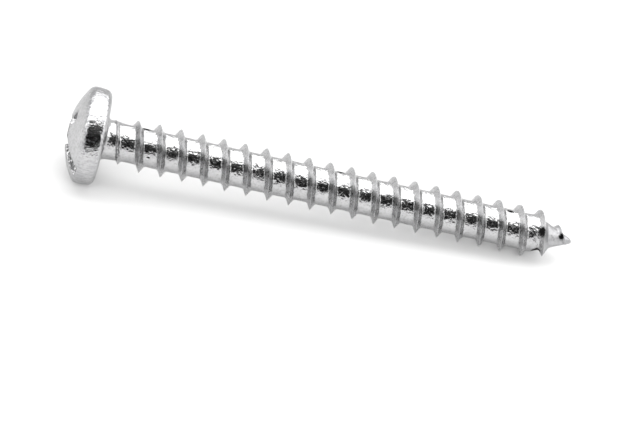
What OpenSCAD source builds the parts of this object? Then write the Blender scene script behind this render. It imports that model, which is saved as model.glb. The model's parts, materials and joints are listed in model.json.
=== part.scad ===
// Pan-head sheet metal screw, No. 12 by 2 in, with 11 threads to the inch, a gimlet point and
// a slot combined with a cross recess. It is one piece of steel.
// It is shaped along its own axis: the underside of the head is at zero, the crown below it
// and the tip above it. It is then laid down on its side with the tip towards +X, on the rim
// of the head and on one crest of the thread, as a dropped screw comes to rest.

/* [Shank] */
// Length from the underside of the head to the tip
shank_length = 50.8; // [30:0.1:90]
// Diameter of the plain core between the ridges of the thread
core_diameter = 3.97; // [3.6:0.01:4.4]
// Diameter of the short neck under the head
neck_diameter = 4.16; // [4:0.01:4.8]
// Length of the neck before it narrows to the core
neck_length = 1.2; // [0.8:0.1:2]
// Radius of the fillet between the neck and the head
neck_fillet = 0.65; // [0.2:0.05:0.8]

/* [Thread] */
// Diameter over the crests
thread_diameter = 5.42; // [5.2:0.01:6.4]
// Distance from one ridge to the next along the axis
thread_pitch = 2.3; // [1.8:0.01:3.2]
// Angle between the two flanks of a ridge
thread_angle = 56; // [40:1:64]
// Width of the flat along the crest of a ridge
crest_width = 0.1; // [0.04:0.01:0.3]
// Turn about the axis at which the ridge would leave the underside of the head
thread_start = 9; // [-180:1:180]
// Distance from the head at which the ridge begins to rise
rise_start = 0.6; // [0.4:0.1:2]
// Length over which the ridge rises to its full height
rise_length = 3.2; // [2:0.1:8]

/* [Point] */
// Length of the cone that the core tapers down
core_taper = 4.2; // [3:0.1:8]
// Length over which the crests fall away to the tip
crest_taper = 4.6; // [3.5:0.1:9]
// Radius of the core where the cone is cut off blunt
tip_radius = 0.2; // [0.05:0.01:0.3]

/* [Head] */
// Diameter of the head
head_diameter = 10.35; // [9:0.05:12.5]
// Height of the head from its underside to the top of the crown
head_height = 3.9; // [3.6:0.05:5]
// Radius of the domed crown
crown_radius = 8.6; // [7:0.1:14]
// Radius of the round edge between the crown and the side
shoulder_round = 0.8; // [0.1:0.05:1.2]
// Radius of the round edge between the side and the underside
rim_round = 0.65; // [0.1:0.05:1]

/* [Drive] */
// Width of the slot
slot_width = 1.5; // [1.2:0.05:2]
// Depth of the slot below the top of the crown
slot_depth = 1.7; // [1:0.05:2.2]
// Turn of the slot about the axis
slot_turn = 113; // [0:1:180]
// Size of the cross from wing tip to wing tip, at the crown
cross_size = 6.3; // [5:0.05:7]
// Width of a wing of the cross
wing_width = 1.1; // [0.8:0.05:1.4]
// Slope of the end of a wing, away from the axis
wing_slope = 26.5; // [15:0.5:32]
// Depth of the wings below the top of the crown
wing_depth = 3; // [2.4:0.05:3.1]
// Diameter of the round middle of the cross at the crown
middle_diameter = 3.4; // [2.6:0.05:4]
// Diameter of the round middle at the foot of the wings
middle_foot = 2.3; // [1.6:0.05:2.5]
// Depth of the cone below the foot of the wings
middle_point = 0.35; // [0.1:0.05:0.45]

/* [Hidden] */
$fn = 96;
arc_step = 10;
steps = 40;
step_turn = 360 / steps;
least_ridge = 0.02;
core_radius = core_diameter / 2;
neck_radius = neck_diameter / 2;
thread_radius = thread_diameter / 2;
head_radius = head_diameter / 2;
flank_slope = tan(thread_angle / 2);
crown_top = -head_height;
crown_centre = crown_top + crown_radius;
clear_of_crown = 1;

// Radius of the core at a height: the neck, the narrowing to the core, and the cone of the point
function narrowing(z) = max(0, min(1, (z - neck_length) / neck_length));
function body_radius(z) = neck_radius + (core_radius - neck_radius) * narrowing(z);
function cone_radius(z) = tip_radius + (shank_length - z) * (core_radius - tip_radius) / core_taper;
function core_line(z) = min(body_radius(z), cone_radius(z));

// Radius of the crests at a height, and the height of the ridge over the core
function rise(z) = sin(90 * max(0, min(1, (z - rise_start) / rise_length)));
function crest_line(z) = thread_radius * sin(90 * max(0, min(1, (shank_length - z) / crest_taper)));
function full_ridge(z) = crest_line(z) - core_line(z);
function ridge(z) = max(least_ridge, full_ridge(z) * rise(z));

// The ridge is a row of sections, one for each step round the axis, and each section has
// four points: foot, crest, crest and foot. Row 0 points to the side that rests on the floor.
function row_at(z) = steps * (z / thread_pitch + thread_start / 360);
function row_height(row) = thread_pitch * (row / steps - thread_start / 360);
function around(radius, row, z) = [radius * cos(row * step_turn), radius * sin(row * step_turn), z];
function foot_reach(z) = crest_width / 2 + ridge(z) * flank_slope;
function foot_point(row, z) = around(core_line(z), row, z);
function crest_point(row, middle, z) = around(core_line(middle) + ridge(middle), row, z);
function section(row, middle) = [
    foot_point(row, middle - foot_reach(middle)),
    crest_point(row, middle, middle - crest_width / 2),
    crest_point(row, middle, middle + crest_width / 2),
    foot_point(row, middle + foot_reach(middle))
];
section_points = 4;
last_point = section_points - 1;
first_row = ceil(row_at(neck_fillet + crest_width + least_ridge));
last_row = floor(row_at(shank_length - tip_radius - 2 * crest_width));

// The fillet under the head is a few rings. The lowest one is sunk in the head.
fillet_steps = 4;
fillet_arc = [for (k = [fillet_steps - 1 : -1 : 0]) 180 + k * 90 / fillet_steps];
fillet_rings = [for (a = fillet_arc)
    [neck_radius + neck_fillet * (1 + cos(a)), neck_fillet * (1 + sin(a))]];
recess_floor = head_height - wing_depth - middle_point;
sunk = recess_floor / 2;
sunk_ring = [fillet_rings[0][0] + sunk, -sunk];
rings = concat([sunk_ring], fillet_rings);
ring_points = [for (ring = rings) for (k = [0 : steps - 1]) around(ring[0], first_row + k, ring[1])];
ridge_points = [for (row = [first_row : last_row]) each section(row, row_height(row))];
tip = len(ring_points) + len(ridge_points);
top_ring = len(rings) - 1;

function on_ring(ring, k) = ring * steps + k % steps;
function on_row(row, k) = len(ring_points) + (row - first_row) * section_points + k;
function quad(a, b, c, d) = [[a, b, c], [a, c, d]];

cap_face = [for (k = [0 : steps - 1]) on_ring(0, k)];
ring_faces = [for (ring = [0 : top_ring - 1]) for (k = [0 : steps - 1])
    each quad(on_ring(ring, k), on_ring(ring + 1, k), on_ring(ring + 1, k + 1), on_ring(ring, k + 1))];
neck_faces = [for (k = [0 : steps - 2])
    each quad(on_ring(top_ring, k), on_row(first_row + k, 0),
        on_row(first_row + k + 1, 0), on_ring(top_ring, k + 1))];
// Beside the first section, the strip of the neck between one turn and the next
seam = concat([on_row(first_row + steps, 0)],
    [for (k = [last_point : -1 : 0]) on_row(first_row, k)],
    [on_ring(top_ring, 0), on_ring(top_ring, steps - 1)]);
seam_faces = [for (k = [0 : len(seam) - 2]) [on_row(first_row + steps - 1, 0), seam[k], seam[k + 1]]];
ridge_faces = [for (row = [first_row : last_row - 1]) for (k = [0 : last_point - 1])
    each quad(on_row(row, k), on_row(row, k + 1), on_row(row + 1, k + 1), on_row(row + 1, k))];
core_faces = [for (row = [first_row : last_row - steps - 1])
    each quad(on_row(row, last_point), on_row(row + steps, 0),
        on_row(row + steps + 1, 0), on_row(row + 1, last_point))];
// The last turn of the core runs to the tip, and so does the end of the ridge
ridge_end = concat([on_row(last_row - steps, last_point)],
    [for (k = [0 : last_point]) on_row(last_row, k)]);
tip_faces = concat(
    [for (row = [last_row - steps : last_row - 1])
        [on_row(row, last_point), tip, on_row(row + 1, last_point)]],
    [for (k = [0 : len(ridge_end) - 2]) [tip, ridge_end[k], ridge_end[k + 1]]]);

module shank() {
    polyhedron(
        points = concat(ring_points, ridge_points, [[0, 0, shank_length]]),
        faces = concat([cap_face], ring_faces, neck_faces, seam_faces, ridge_faces, core_faces, tip_faces),
        convexity = 20);
}

// Outline of half the head: a flat underside, a round rim, a straight side, a round shoulder
// and the crown. The angles are measured at the middle of each arc.
shoulder_middle = [head_radius - shoulder_round,
    crown_centre - sqrt(pow(crown_radius - shoulder_round, 2) - pow(head_radius - shoulder_round, 2))];
shoulder_end = atan2(shoulder_middle[1] - crown_centre, shoulder_middle[0]);
function arc(middle, radius, from, to) =
    let (count = ceil(abs(to - from) / arc_step))
    [for (k = [0 : count]) let (a = from + (to - from) * k / count)
        middle + radius * [cos(a), sin(a)]];
crown_arc = arc([0, crown_centre], crown_radius, shoulder_end, -90);
head_outline = concat([[0, 0]],
    arc([head_radius - rim_round, -rim_round], rim_round, 90, 0),
    arc(shoulder_middle, shoulder_round, 0, shoulder_end),
    [for (k = [1 : len(crown_arc) - 2]) crown_arc[k]], [[0, crown_top]]);

module head_blank() {
    rotate_extrude() polygon(head_outline);
}

module slot() {
    translate([0, 0, crown_top + (slot_depth - clear_of_crown) / 2])
        cube([head_diameter + 2 * clear_of_crown, slot_width, slot_depth + clear_of_crown], center = true);
}

// Depth of the crown's surface below its top, out at the wing tips
wing_rim = crown_radius - sqrt(pow(crown_radius, 2) - pow(cross_size / 2, 2));
function wing_reach(depth) = cross_size / 2 - (depth - wing_rim) * tan(wing_slope);

module wings() {
    outline = [
        [-wing_reach(-clear_of_crown), crown_top - clear_of_crown],
        [wing_reach(-clear_of_crown), crown_top - clear_of_crown],
        [wing_reach(wing_depth), crown_top + wing_depth],
        [-wing_reach(wing_depth), crown_top + wing_depth]
    ];
    rotate([90, 0, 0]) linear_extrude(height = wing_width, center = true) polygon(outline);
}

module middle() {
    taper = (middle_diameter - middle_foot) / 2 / wing_depth;
    translate([0, 0, crown_top - clear_of_crown])
        cylinder(h = wing_depth + clear_of_crown,
            r1 = middle_diameter / 2 + taper * clear_of_crown, r2 = middle_foot / 2);
    translate([0, 0, crown_top + wing_depth])
        cylinder(h = middle_point, r1 = middle_foot / 2, r2 = 0);
}

module head() {
    difference() {
        head_blank();
        rotate([0, 0, slot_turn]) {
            slot();
            wings();
            rotate([0, 0, 90]) wings();
            middle();
        }
    }
}

// How far the tip dips at rest. A crest that touches the floor together with the rim gives
// one angle, and the crest that touches first gives the least.
crest_rows = [for (row = [0 : steps : last_row]) if (row_height(row) > rise_start + rise_length) row];
function touching_tilt(z, radius) =
    let (over = head_radius - rim_round - radius, along = z + crest_width / 2 + rim_round)
    acos(-rim_round / norm([over, along])) - atan2(along, over);
rest_tilt = min([for (row = crest_rows)
    touching_tilt(row_height(row), core_line(row_height(row)) + ridge(row_height(row)))]);
rest_height = (head_radius - rim_round) * cos(rest_tilt) - rim_round * sin(rest_tilt) + rim_round;
rest_middle = (shank_length - head_height) / 2 * cos(rest_tilt);

module screw() {
    color("silver")
        translate([-rest_middle, 0, rest_height])
        rotate([0, 90 + rest_tilt, 0])
        union() {
            head();
            shank();
        }
}

screw();
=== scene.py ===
"""One pan-head sheet metal screw in bright zinc, lying on a white studio table.

The screw is shaped in millimetres along its own axis: the underside of the head is at zero,
the crown of the head below it and the tip above it. It is laid down at the end, in metres,
where the record's mount under the head says it lies.
"""

import json
import math

import bpy
import numpy as np
from mathutils import Matrix, Vector


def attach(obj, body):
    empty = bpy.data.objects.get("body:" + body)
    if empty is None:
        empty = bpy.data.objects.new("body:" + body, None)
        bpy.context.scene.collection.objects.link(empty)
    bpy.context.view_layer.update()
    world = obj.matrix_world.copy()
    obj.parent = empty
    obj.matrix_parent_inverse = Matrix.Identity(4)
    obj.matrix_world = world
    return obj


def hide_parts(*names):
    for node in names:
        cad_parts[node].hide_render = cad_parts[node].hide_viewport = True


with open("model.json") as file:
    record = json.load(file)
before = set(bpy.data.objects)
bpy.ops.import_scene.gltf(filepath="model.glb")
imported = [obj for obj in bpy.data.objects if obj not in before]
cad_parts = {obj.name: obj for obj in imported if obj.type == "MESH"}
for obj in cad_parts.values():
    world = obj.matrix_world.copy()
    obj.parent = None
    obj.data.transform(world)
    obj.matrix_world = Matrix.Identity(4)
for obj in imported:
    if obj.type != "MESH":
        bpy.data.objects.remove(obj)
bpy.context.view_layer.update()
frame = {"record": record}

# ---------------------------------------------------------------------------------------
# The camera: a long lens that looks down on the table, a little rolled, so that the screw
# runs downhill from its head at the upper left to its tip at the lower right.
# ---------------------------------------------------------------------------------------

camera_height = math.radians(32.0)
camera_turn = math.radians(6.5)
camera_roll = math.radians(13.24)
camera_distance = 0.33737
aim = Vector((0.000667, 0.0, -0.000225))

view_line = Vector((-math.sin(camera_turn) * math.cos(camera_height),
                    -math.cos(camera_turn) * math.cos(camera_height),
                    math.sin(camera_height)))
camera_data = bpy.data.cameras.new("camera")
camera_data.sensor_width = 36.0
camera_data.lens = 179.4
camera_data.clip_start = 0.01
camera_data.clip_end = 20.0
camera = bpy.data.objects.new("camera", camera_data)
bpy.context.scene.collection.objects.link(camera)
camera.matrix_world = (
    Matrix.Translation(aim + view_line * camera_distance)
    @ view_line.to_track_quat("Z", "Y").to_matrix().to_4x4()
    @ Matrix.Rotation(camera_roll, 4, "Z")
)
bpy.context.scene.camera = camera

# ---------------------------------------------------------------------------------------
# The shank: steel wire of 4 mm, with a No. 12 thread of 11 turns to the inch rolled into it
# between flat dies. Rolling leaves plain lands of core, filleted feet and a rounded crest,
# lets the ridge rise slowly from the neck, and pinches the end to a gimlet point.
# ---------------------------------------------------------------------------------------

shank_length = 50.8
core_radius = 1.985
neck_radius = 2.08
neck_length = 1.2
neck_fillet = 0.65
thread_radius = 2.71
thread_pitch = 2.3
start_turn = 9.0 / 360.0
rise_start = 0.4
rise_length = 3.2
core_taper = 4.2
crest_taper = 4.6
tip_radius = 0.2
crest_width = 0.1
flank_slope = math.tan(math.radians(28.0))
least_ridge = 0.02
least_base = 0.35
most_base_on_core = 0.3

# How the skin is laid: places across the ridge are in halves of its base, and places across
# the land are shares of its width
turn_steps = 96
root_depth = 0.15
root_flare = 1.1
strip_lead = 0.2
strip_end = 0.3
crest_softness = 0.02
foot_softness = 0.2
foot_spread = 1.4
across_ridge = np.array([-1.4, -1.25, -1.12, -1.0, -0.88, -0.7, -0.4, -0.07, -0.03, 0.0])
across_ridge = np.concatenate([across_ridge, -across_ridge[-2::-1]])
across_land = np.array([0.2, 0.4, 0.6, 0.8])
land_unevenness = 0.035


def seeded_waves(count, shortest, longest, seed):
    """Directions and phases of a few gentle waves, which are the same on every run."""
    draw = np.random.default_rng(seed)
    directions = draw.normal(size=(count, 3))
    lengths = draw.uniform(shortest, longest, count)
    steepness = 2 * math.pi / lengths / np.linalg.norm(directions, axis=1)
    return directions * steepness[:, None], draw.uniform(0, 2 * math.pi, count)


def unevenness(points, waves):
    """How far the metal lies under its full form, from 0 to 1, with 0.5 as the average."""
    turns, phases = waves
    return np.clip(0.5 + np.sin(points @ turns.T + phases).mean(axis=-1), 0.0, 1.0)


land_waves = seeded_waves(10, 0.7, 2.2, 5)


def core_line(z):
    """Radius of the core: the neck, the narrowing to the core, the cone and the blunt tip."""
    narrowing = np.clip((z - neck_length) / neck_length, 0.0, 1.0)
    body = neck_radius + (core_radius - neck_radius) * narrowing
    to_tip = np.maximum(shank_length - z, 0.0)
    cone = tip_radius + to_tip * (core_radius - tip_radius) / core_taper
    rounded = np.sqrt(np.clip(to_tip * (2 * tip_radius) / tip_radius**2, 0.0, 1.0))
    return np.minimum(body, cone * rounded)


def ridge_height(z):
    """Height of the ridge over the core, rising at the neck and falling away to the tip."""
    crest = thread_radius * np.sin(np.pi / 2 * np.clip((shank_length - z) / crest_taper, 0.0, 1.0))
    rise = np.clip((z - rise_start) / rise_length, 0.0, 1.0)
    return np.maximum(least_ridge, (crest - core_line(z)) * rise)


def half_base(z):
    """Half the width of the ridge's foot: where the die barely fills, the ridge stays blunt."""
    blunt = np.minimum(least_base, most_base_on_core * core_line(z))
    return crest_width / 2 + flank_slope * np.maximum(ridge_height(z), blunt)


def ridge_shape(across):
    """Share of the ridge's height across its base: a V with a soft crest and soft feet."""
    slope = 1 + crest_softness - np.sqrt(across**2 + crest_softness**2)
    return (slope + np.sqrt(slope**2 + foot_softness**2)) / 2


def row_height(row):
    """Height of the crest at one step of the winding."""
    return thread_pitch * (row / turn_steps - start_turn)


def section(row):
    """Points across the ridge and the land beyond it, on the half plane of one step."""
    middle = row_height(row)
    height = ridge_height(middle)
    ridge_z = middle + across_ridge * half_base(middle)
    lowest = ridge_shape(foot_spread)
    share = (ridge_shape(across_ridge) - lowest) / (ridge_shape(0.0) - lowest)
    next_middle = middle + thread_pitch
    next_foot = next_middle - foot_spread * half_base(next_middle)
    land_end = min(next_foot, shank_length)
    land_z = ridge_z[-1] + across_land * (land_end - ridge_z[-1])
    z = np.concatenate([ridge_z, land_z])
    radius = core_line(z) + np.concatenate([height * share, 0 * land_z])
    turn = 2 * math.pi * row / turn_steps
    line = np.stack([radius * math.cos(turn), radius * math.sin(turn), z], axis=1)
    under = land_unevenness * unevenness(line, land_waves)
    line[:, :2] *= (1 - under / np.maximum(radius, core_radius))[:, None]
    return line


def turned_ring(radius, z, first_row):
    """A ring of points round the axis, in step with the winding."""
    turns = 2 * math.pi * (first_row + np.arange(turn_steps)) / turn_steps
    return np.stack([radius * np.cos(turns), radius * np.sin(turns), np.full(turn_steps, z)], axis=1)


def threaded_shank():
    """The shank as one closed skin: rings of the fillet, then the ridge wound as one strip."""
    first = math.ceil(turn_steps * ((neck_fillet + strip_lead) / thread_pitch + start_turn))
    last = math.floor(turn_steps * ((shank_length - strip_end) / thread_pitch + start_turn))
    fillet = np.radians(np.arange(180.0, 261.0, 10.0))[::-1]
    rings = [(neck_radius + neck_fillet * root_flare, -root_depth)]
    rings += [(neck_radius + neck_fillet * (1 + math.cos(angle)), neck_fillet * (1 + math.sin(angle)))
              for angle in fillet]
    ring_points = np.concatenate([turned_ring(radius, z, first) for radius, z in rings])
    sections = [section(row) for row in range(first, last + 1)]
    width = len(sections[0])
    ends = [[[0, 0, -root_depth], [0, 0, shank_length]]]
    points = np.concatenate([ring_points] + sections + ends)
    cap = len(points) - 2
    tip = len(points) - 1

    def ring(level, k):
        return level * turn_steps + k % turn_steps

    def on(row, k):
        return len(ring_points) + (row - first) * width + k

    # The root inside the head, and the fillet out to the first turn of the winding
    top = len(rings) - 1
    faces = [(cap, ring(0, k + 1), ring(0, k)) for k in range(turn_steps)]
    for level in range(top):
        faces += [(ring(level, k), ring(level, k + 1), ring(level + 1, k + 1), ring(level + 1, k))
                  for k in range(turn_steps)]
    faces += [(ring(top, k), ring(top, k + 1), on(first + k + 1, 0), on(first + k, 0))
              for k in range(turn_steps - 1)]

    # The open start of the winding, closed by a fan from the corner where the next turn passes it
    seam = [ring(top, 0)] + [on(first, k) for k in range(width)] + [on(first + turn_steps, 0)]
    corner = on(first + turn_steps - 1, 0)
    faces += [(corner, seam[k], seam[k + 1]) for k in range(len(seam) - 1)]
    faces += [(corner, ring(top, turn_steps - 1), seam[0])]

    # The winding, with the edge of each land joined to the ridge one turn on, and the last turn
    # closed at the tip
    for row in range(first, last):
        faces += [(on(row, k), on(row + 1, k), on(row + 1, k + 1), on(row, k + 1))
                  for k in range(width - 1)]
    edge = width - 1
    faces += [(on(row, edge), on(row + 1, edge), on(row + turn_steps + 1, 0), on(row + turn_steps, 0))
              for row in range(first, last - turn_steps)]
    faces += [(on(row, edge), on(row + 1, edge), tip) for row in range(last - turn_steps, last)]
    ridge_end = [on(last - turn_steps, edge)] + [on(last, k) for k in range(width)]
    faces += [(tip, ridge_end[k + 1], ridge_end[k]) for k in range(width)]
    return points, faces


shank_points, shank_faces = threaded_shank()

# ---------------------------------------------------------------------------------------
# The head: upset cold from the same wire into a pan shape, then punched with a slot right
# across and a cross with tapered wings. Punching leaves every lip soft. The solid is held
# as a distance, negative in the steel, and its skin is drawn where the distance is nought.
# ---------------------------------------------------------------------------------------

head_radius = 5.175
head_height = 3.9
crown_radius = 8.6
shoulder_round = 0.3
rim_round = 0.58
wall_middle = -1.5
wall_bulge = 0.22
slot_width = 1.5
slot_depth = 1.7
slot_turn = math.radians(113.0)
cross_size = 6.3
wing_width = 1.1
wing_slope = math.tan(math.radians(26.5))
wing_depth = 3.0
middle_radius = 1.7
middle_foot = 1.15
middle_point = 0.35
lip_round = 0.14
corner_round = 0.12
meeting_round = 0.05
blank_unevenness = 0.02
punch_unevenness = 0.07
blank_waves = seeded_waves(12, 0.8, 3.0, 8)
punch_waves = seeded_waves(14, 0.35, 0.9, 3)


def both(a, b, radius):
    """Where two solids overlap, with the edge between them rounded."""
    past = np.hypot(np.maximum(a + radius, 0), np.maximum(b + radius, 0))
    return np.minimum(np.maximum(a, b), -radius) + past


def either(a, b, radius):
    """Where at least one of two solids is, with the corner between them filled."""
    return -both(-a, -b, radius)


def wings(across, along, below):
    """Two wings of the cross in one line: straight flanks, ends that lean in, a flat foot."""
    rim_depth = crown_radius - math.sqrt(crown_radius**2 - cross_size**2 / 4)
    reach = cross_size / 2 - (below - rim_depth) * wing_slope
    steep = 1 / math.hypot(1, wing_slope)
    ends = (np.abs(along) - reach) * steep
    walls = both(np.abs(across) - wing_width / 2, ends, corner_round)
    return both(walls, below - wing_depth, corner_round)


def head_solid(p):
    """The whole head: the upset blank, less the slot and the cross that are punched into it."""
    x, y, z = p[..., 0], p[..., 1], p[..., 2]
    below = z + head_height
    out = np.hypot(x, y)
    crown = np.sqrt(out**2 + (z + head_height - crown_radius) ** 2) - crown_radius
    from_middle = z / wall_middle - 1
    blank = both(out - head_radius + wall_bulge * from_middle**2, z, rim_round)
    blank = both(blank, crown, shoulder_round)
    slot = both(np.abs(y) - slot_width / 2, below - slot_depth, corner_round)
    cross = either(wings(y, x, below), wings(x, y, below), corner_round)
    cone_slope = (middle_radius - middle_foot) / wing_depth
    cone = (out - middle_radius + below * cone_slope) / math.hypot(1, cone_slope)
    foot_slope = middle_point / middle_foot
    foot = (below - wing_depth - middle_point + out * foot_slope) / math.hypot(1, foot_slope)
    middle = both(cone, foot, corner_round)
    cut = either(cross, either(middle, slot, meeting_round), meeting_round)
    cut = cut + punch_unevenness * (unevenness(p, punch_waves) - 0.5)
    blank = blank + blank_unevenness * unevenness(p, blank_waves)
    return both(blank, -cut, lip_round)


skin_cell = 0.09
skin_margin = 0.2
slope_span = 0.004
least_slope = 0.5
settling_steps = 4


def slope_of(solid, p):
    """The direction in which the distance grows, measured over a short span each way."""
    shifts = np.eye(3) * slope_span
    grown = [solid(p + shift) - solid(p - shift) for shift in shifts]
    return np.stack(grown, axis=-1) / (2 * slope_span)


def skin(solid, low, high, cell):
    """Skin of a solid: one point in each cell that the surface crosses, joined in fours."""
    counts = np.ceil((high - low) / cell).astype(int) + 1
    lines = [low[k] + cell * np.arange(counts[k]) for k in range(3)]
    grid = np.stack(np.meshgrid(*lines, indexing="ij"), axis=-1)
    value = solid(grid)
    inside = value < 0

    # Each grid line that crosses the surface gives its crossing to the four cells round it
    total = np.zeros(tuple(counts - 1) + (3,))
    hits = np.zeros(tuple(counts - 1))
    crossings = []
    for axis in range(3):
        near = tuple(slice(0, -1) if k == axis else slice(None) for k in range(3))
        far = tuple(slice(1, None) if k == axis else slice(None) for k in range(3))
        at = np.argwhere(inside[near] != inside[far])
        ahead = at + np.eye(3, dtype=int)[axis]
        from_value = value[tuple(at.T)]
        to_value = value[tuple(ahead.T)]
        share = from_value / (from_value - to_value)
        start = grid[tuple(at.T)]
        point = start + share[:, None] * (grid[tuple(ahead.T)] - start)
        sides = [k for k in range(3) if k != axis]
        corners = []
        for back in ((1, 1), (0, 1), (0, 0), (1, 0)):
            cell_at = at.copy()
            cell_at[:, sides[0]] -= back[0]
            cell_at[:, sides[1]] -= back[1]
            np.add.at(total, tuple(cell_at.T), point)
            np.add.at(hits, tuple(cell_at.T), 1)
            corners.append(cell_at)
        outward = inside[tuple(at.T)] != (axis == 1)
        crossings.append((corners, outward))

    # The average of a cell's crossings is its point, which then settles on the surface itself
    numbers = -np.ones(hits.shape, int)
    used = hits > 0
    numbers[used] = np.arange(used.sum())
    points = total[used] / hits[used][:, None]
    for _ in range(settling_steps):
        slope = slope_of(solid, points)
        step = solid(points) / np.maximum((slope**2).sum(axis=-1), least_slope**2)
        points = points - slope * step[:, None]
    faces = []
    for corners, outward in crossings:
        quads = np.stack([numbers[tuple(corner.T)] for corner in corners], axis=1)
        quads[~outward] = quads[~outward][:, ::-1]
        faces += [tuple(map(int, quad)) for quad in quads]
    return points, faces


half_room = np.array([head_radius + skin_margin, head_radius + skin_margin, 0.0])
head_low = np.array([0, 0, -head_height - skin_margin]) - half_room
head_high = np.array([0, 0, skin_margin]) + half_room
head_points, head_faces = skin(head_solid, head_low, head_high, skin_cell)
turned = np.array(Matrix.Rotation(slot_turn, 3, "Z"))
head_points = head_points @ turned.T

# ---------------------------------------------------------------------------------------
# The screw in one piece: head and shank are the same wire, so the two skins are joined into
# one, and the whole is laid on the table where the mount under the head is. It is plated with
# zinc all over, as the last step of making it.
# ---------------------------------------------------------------------------------------

millimetre = 0.001
seat = next(mount for mount in frame["record"]["mounts"] if mount["name"] == "under_head_seat")
along = Vector(seat["axis"]).normalized()
sideways = Vector((0.0, 1.0, 0.0))
downward = sideways.cross(along)
lie = Matrix((downward, sideways, along)).transposed()
lay_down = Matrix.Translation(Vector(seat["pos_m"])) @ lie.to_4x4()
lay_down = lay_down @ Matrix.Scale(millimetre, 4)


def mesh_object(name, points, faces):
    """A new object in the scene, with the given points and faces."""
    mesh = bpy.data.meshes.new(name)
    mesh.from_pydata(points.tolist(), [], faces)
    mesh.validate()
    thing = bpy.data.objects.new(name, mesh)
    bpy.context.scene.collection.objects.link(thing)
    return thing


shank = mesh_object("shank", shank_points, shank_faces)
head = mesh_object("head", head_points, head_faces)
join = shank.modifiers.new("join", "BOOLEAN")
join.operation = "UNION"
join.solver = "MANIFOLD"
join.object = head
evaluated = shank.evaluated_get(bpy.context.evaluated_depsgraph_get())
screw_mesh = bpy.data.meshes.new_from_object(evaluated)
for part in (shank, head):
    bpy.data.objects.remove(part)
screw_mesh.name = "zinc_screw"
screw_mesh.transform(lay_down)
for face in screw_mesh.polygons:
    face.use_smooth = True
screw = bpy.data.objects.new("zinc_screw", screw_mesh)
bpy.context.scene.collection.objects.link(screw)

# The finish: bright zinc plate, a soft mirror, thinner on the point and on the wall of the
# head, stained in specks, and near black without any shine in a few dark spots
bright_plate = (0.55, 0.55, 0.552, 1.0)
thin_plate = (0.42, 0.42, 0.43, 1.0)
stain = (0.2, 0.2, 0.2, 1.0)
# Near black, for the dark spots; with the black edge tint below, the metal gives back no light there
dark_spot = (0.02, 0.02, 0.02, 1.0)
plate_edge = (0.76, 0.76, 0.76, 1.0)
dark_spot_edge = (0.0, 0.0, 0.0, 1.0)
mottle_low = 0.35
mottle_high = 0.65
relief_depth = 0.0001
land_relief = 0.8
ridge_relief = 0.08
head_relief = 0.7
recess_relief = 2.5
shank_dimples = 1.2
head_dimples = 0.85
grain_share = 0.34
streak_share = 0.25
ring_fineness = 6.0
point_thinness = 0.5
crown_thinness = 0.15
wall_thinness = 0.7
point_dullness = 0.42
recess_dullness = 0.2
dark_spot_dullness = 0.5

zinc = bpy.data.materials.new("bright_zinc")
zinc.use_nodes = True
shader = zinc.node_tree.nodes["Principled BSDF"]


def step_node(kind, feeds, output=0, tree=zinc.node_tree, **settings):
    """One step of a finish: what feeds each input, by name or number, and the output wanted."""
    step = tree.nodes.new("ShaderNode" + kind)
    for name, value in settings.items():
        setattr(step, name, value)
    for name, feed in feeds.items():
        if isinstance(feed, bpy.types.NodeSocket):
            tree.links.new(feed, step.inputs[name])
        else:
            step.inputs[name].default_value = feed
    return step.outputs[output]


def math_step(operation, first, second, tree=zinc.node_tree):
    """A sum, product or the like of two numbers, each of them fixed or fed."""
    return step_node("Math", {0: first, 1: second}, operation=operation, tree=tree)


def stretched(place, across, along):
    """The place with its distances across and along the screw made larger or smaller."""
    return step_node("VectorMath", {0: place, 1: (across, across, along)}, operation="MULTIPLY")


def mottle(place, fineness=1.0, detail=2.0, roughness=0.5):
    """A random pattern, mostly from mottle_low to mottle_high, with so many waves in 1 mm."""
    return step_node("TexNoise", {"Vector": place, "Scale": fineness, "Detail": detail,
                                  "Roughness": roughness})


def fade(value, low, high, at_low=0.0, at_high=1.0, tree=zinc.node_tree):
    """A straight run from one output to another while the value goes from low to high."""
    return step_node("MapRange", {"Value": value, "From Min": low, "From Max": high,
                                  "To Min": at_low, "To Max": at_high}, tree=tree)


def blend(share, first, second):
    """A number between two others, nearer the second as the share grows."""
    return step_node("Mix", {"Factor": share, 2: first, 3: second}, data_type="FLOAT")


def tint(share, first, second):
    """A colour between two others, nearer the second as the share grows."""
    return step_node("Mix", {0: share, 6: first, 7: second}, output=2, data_type="RGBA")


# Places are taken in millimetres along the screw's own axis, from the underside of the head:
# height is the distance along the axis, and out is the distance from it
here = step_node("TexCoord", {}, output="Object")
place = step_node("Mapping", {"Vector": here, "Location": seat["pos_m"], "Rotation": lie.to_euler(),
                              "Scale": (millimetre, millimetre, millimetre)}, vector_type="TEXTURE")
height = step_node("SeparateXYZ", {"Vector": place}, output="Z")
out = step_node("VectorMath", {0: stretched(place, across=1.0, along=0.0)}, output="Value",
                operation="LENGTH")

# The zones: head, its side wall, the ridge of the thread, the point, and the recess, which is
# what lies deeper in the head than its crown, its wall and its flat underside
on_head = fade(height, low=-0.3, high=0.0, at_low=1.0, at_high=0.0)
on_wall = fade(out, low=head_radius - 0.575, high=head_radius - 0.275)
off_core = fade(out, low=core_radius + 0.065, high=core_radius + 0.315)
on_ridge = math_step("MULTIPLY", off_core, fade(height, low=0.3, high=0.6))
on_point = fade(height, low=shank_length - 3.6, high=shank_length - 2.8)
crown_middle = (0.0, 0.0, crown_radius - head_height)
from_crown_middle = step_node("VectorMath", {0: place, 1: crown_middle}, output="Value",
                              operation="DISTANCE")
under_crown = fade(from_crown_middle, low=crown_radius - 0.12, high=crown_radius - 0.04,
                   at_low=1.0, at_high=0.0)
inside_wall = fade(out, low=head_radius - 0.375, high=head_radius - 0.275, at_low=1.0, at_high=0.0)
under_seat = fade(height, low=-0.6, high=-0.4, at_low=1.0, at_high=0.0)
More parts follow.
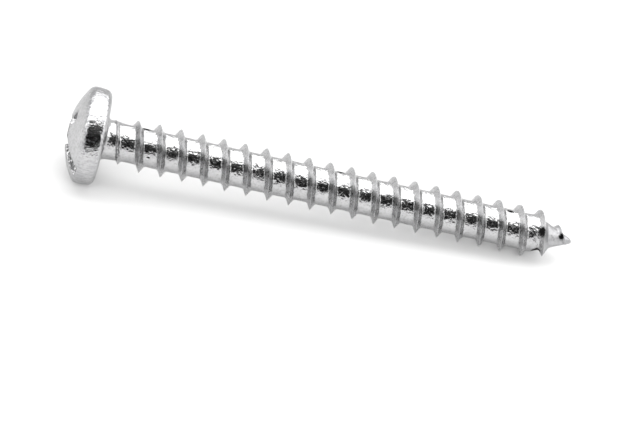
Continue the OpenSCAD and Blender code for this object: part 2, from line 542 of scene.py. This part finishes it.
in_recess = math_step("MULTIPLY", math_step("MULTIPLY", under_crown, inside_wall), under_seat)

# Relief: soft dimples of the plate, a fine grain, drag marks along the wall of the head, faint
# rings on its crown, and rolling marks round the shank
dimples = mottle(place, fineness=2.6, detail=1.0)
grain = mottle(place, fineness=8.0, roughness=0.6)
wall_drag = mottle(stretched(place, across=5.0, along=0.7))
rings = step_node("CombineXYZ", {"X": math_step("MULTIPLY", out, ring_fineness), "Y": height, "Z": 0.0})
rings = step_node("VectorMath", {0: rings, 1: stretched(place, across=0.7, along=0.0)}, operation="ADD")
crown_rings = mottle(rings)
rolling = mottle(stretched(place, across=0.8, along=5.0))
streaks = blend(on_head, rolling, blend(on_wall, crown_rings, wall_drag))
relief = math_step("MULTIPLY", dimples, blend(on_head, shank_dimples, head_dimples))
relief = math_step("ADD", relief, math_step("MULTIPLY", grain, grain_share))
relief = math_step("ADD", relief, math_step("MULTIPLY", streaks, streak_share))
relief = math_step("MULTIPLY", relief, blend(in_recess, 1.0, recess_relief))
strength = blend(on_head, blend(on_ridge, land_relief, ridge_relief), head_relief)
bump = step_node("Bump", {"Height": relief, "Strength": strength, "Distance": relief_depth},
                 output="Normal")
zinc.node_tree.links.new(bump, shader.inputs["Normal"])

# Dark spots, near black and without shine: three along the top, a small one on one of the first
# lands, a streak under the last land, a patch on the last ridge and a small one on the point
frayed = mottle(place, fineness=6.0)


def mark(turn, level, radius, across, along):
    """A dark mark of the given half sizes, turned by degrees from the front towards the top."""
    angle = math.radians(turn)
    centre = (-radius * math.sin(angle), -radius * math.cos(angle), level)
    off = step_node("VectorMath", {0: place, 1: centre}, operation="SUBTRACT")
    off = stretched(off, across=1 / across, along=1 / along)
    far = step_node("VectorMath", {0: off}, output="Value", operation="LENGTH")
    return fade(math_step("ADD", far, frayed), low=1.2, high=1.5, at_low=1.0, at_high=0.0)


marks = mark(turn=108.0, level=4.2, radius=core_radius, across=0.5, along=0.5)
for one_mark in (mark(turn=106.0, level=25.1, radius=core_radius, across=0.3, along=0.5),
                 mark(turn=94.0, level=43.6, radius=core_radius, across=0.25, along=0.4),
                 mark(turn=3.0, level=4.9, radius=core_radius, across=0.12, along=0.25),
                 mark(turn=-42.0, level=47.15, radius=1.75, across=0.65, along=0.65),
                 mark(turn=41.0, level=47.15, radius=2.1, across=0.6, along=0.4),
                 mark(turn=50.0, level=49.5, radius=0.9, across=0.35, along=0.35)):
    marks = math_step("MAXIMUM", marks, one_mark)

# Gloss: hazier on the ridge than on the lands, even in the recess, and dull on the point and in
# the marks
haze = mottle(place, fineness=3.4)
land_dullness = fade(haze, mottle_low, mottle_high, at_low=0.08, at_high=0.22)
ridge_dullness = fade(haze, mottle_low, mottle_high, at_low=0.24, at_high=0.34)
dullness = blend(on_ridge, land_dullness, ridge_dullness)
dullness = blend(on_point, dullness, point_dullness)
dullness = blend(in_recess, dullness, recess_dullness)
dullness = blend(marks, dullness, dark_spot_dullness)
zinc.node_tree.links.new(dullness, shader.inputs["Roughness"])
shader.inputs["Metallic"].default_value = 1.0

# Colour: clouds where the plate is thin, thin streaks on the head, small stains, and the marks
clouds = mottle(place, fineness=1.2, detail=3.0)
clouds = fade(clouds, mottle_low, mottle_high, at_low=0.4, at_high=0.0)
in_streak = blend(on_wall, crown_thinness, wall_thinness)
thin_streaks = fade(streaks, low=0.42, high=0.58, at_low=in_streak, at_high=0.0)
thin_streaks = math_step("MULTIPLY", on_head, thin_streaks)
worn = math_step("ADD", math_step("MULTIPLY", on_point, point_thinness), thin_streaks)
worn = math_step("ADD", worn, clouds)
stains = fade(mottle(place, fineness=5.0), low=0.5, high=0.72, at_high=0.4)
tone = tint(worn, bright_plate, thin_plate)
tone = tint(stains, tone, stain)
tone = tint(marks, tone, dark_spot)
zinc.node_tree.links.new(tone, shader.inputs["Base Color"])
zinc.node_tree.links.new(tint(marks, plate_edge, dark_spot_edge), shader.inputs["Specular Tint"])

# The join leaves one empty slot for a finish, which is cleared so that the zinc comes first
screw.data.materials.clear()
screw.data.materials.append(zinc)

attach(screw, "root")
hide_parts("screw")

# ---------------------------------------------------------------------------------------
# The table and the studio: a plain white table under a wide soft light, with white walls, a
# weak light on each side, and a fill light that metal doesn't mirror. A dark curtain on the
# camera's side and a dark cover that lies before it give the metal its black reflections.
# ---------------------------------------------------------------------------------------

table_side = 4.0
table_white = 0.5
wall_white = 0.88
softbox_height = 0.5
softbox_side = 1.45
softbox_radiance = 2.2
side_light_size = (1.8, 0.8)
side_light_radiance = 0.3
fill_size = (1.2, 0.5)
fill_radiance = 7.5
curtain_side = 0.65
curtain_back = -0.7
curtain_profile = [(curtain_back, -0.01), (curtain_back, 0.46), (-0.19, softbox_height - 0.01)]
cover_profile = [(-0.06, 0.001), (curtain_back, 0.001)]

scene = bpy.context.scene
scene.view_settings.view_transform = "Standard"

table_mesh = bpy.data.meshes.new("table")
table_corners = [(x * table_side, y * table_side, 0) for x, y in ((-1, -1), (1, -1), (1, 1), (-1, 1))]
table_mesh.from_pydata(table_corners, [], [(0, 1, 2, 3)])
table = bpy.data.objects.new("table", table_mesh)
scene.collection.objects.link(table)
table_paint = bpy.data.materials.new("table_paint")
table_paint.use_nodes = True
table_shader = table_paint.node_tree.nodes["Principled BSDF"]
table_shader.inputs["Base Color"].default_value = (table_white, table_white, table_white, 1.0)
table_shader.inputs["Roughness"].default_value = 0.9
table_shader.inputs["Specular IOR Level"].default_value = 0.0
table.data.materials.append(table_paint)


def soft_light(name, size, radiance, location, turn):
    """A flat rectangular light that is equally bright all over, turned by degrees."""
    light_data = bpy.data.lights.new(name, "AREA")
    light_data.shape = "RECTANGLE"
    light_data.size, light_data.size_y = size
    light_data.energy = radiance * math.pi * size[0] * size[1]
    light = bpy.data.objects.new(name, light_data)
    light.location = location
    light.rotation_euler = [math.radians(angle) for angle in turn]
    scene.collection.objects.link(light)
    return light


soft_light("softbox", (softbox_side, softbox_side), softbox_radiance,
           location=(0.1, -0.17, softbox_height), turn=(0.0, 0.0, 45.0))
for name, side in (("left_light", -1), ("right_light", 1)):
    soft_light(name, side_light_size, side_light_radiance,
               location=(side * 1.1, 0.0, 0.4), turn=(90.0, 0.0, side * 90.0))
fill = soft_light("fill", fill_size, fill_radiance, location=(0.0, -0.55, 0.3), turn=(60.0, 0.0, 0.0))
fill.visible_glossy = False


def hung_cloth(name, profile):
    """A wide cloth on the given line of depths and heights, unseen by the camera itself."""
    points = [(x, y, z) for y, z in profile for x in (-curtain_side, curtain_side)]
    faces = [(2 * k, 2 * k + 1, 2 * k + 3, 2 * k + 2) for k in range(len(profile) - 1)]
    mesh = bpy.data.meshes.new(name)
    mesh.from_pydata(points, [], faces)
    cloth = bpy.data.objects.new(name, mesh)
    cloth.visible_camera = False
    scene.collection.objects.link(cloth)
    return cloth


curtain = hung_cloth("curtain", curtain_profile)
cover = hung_cloth("cover", cover_profile)
cover.visible_shadow = False
cover.visible_diffuse = False

# The cloth is dark below, a little lighter at its top, and grey at the edge next to the screw
curtain_cloth = bpy.data.materials.new("curtain_cloth")
curtain_cloth.use_nodes = True
cloth_tree = curtain_cloth.node_tree
cloth_shader = cloth_tree.nodes["Principled BSDF"]
cloth_here = step_node("TexCoord", {}, output="Object", tree=cloth_tree)
cloth_depth = step_node("SeparateXYZ", {"Vector": cloth_here}, output="Y", tree=cloth_tree)
cloth_height = step_node("SeparateXYZ", {"Vector": cloth_here}, output="Z", tree=cloth_tree)
at_edge = fade(cloth_depth, low=-0.2, high=-0.06, at_high=0.5, tree=cloth_tree)
at_top = fade(cloth_height, low=0.2, high=0.48, at_low=0.002, at_high=0.05, tree=cloth_tree)
cloth_tone = math_step("ADD", at_edge, at_top, tree=cloth_tree)
cloth_tree.links.new(cloth_tone, cloth_shader.inputs["Base Color"])
cloth_shader.inputs["Specular IOR Level"].default_value = 0.0
for cloth in (curtain, cover):
    cloth.data.materials.append(curtain_cloth)

world = bpy.data.worlds.new("studio")
world.use_nodes = True
walls = world.node_tree.nodes["Background"]
walls.inputs["Color"].default_value = (wall_white, wall_white, wall_white, 1.0)
scene.world = world
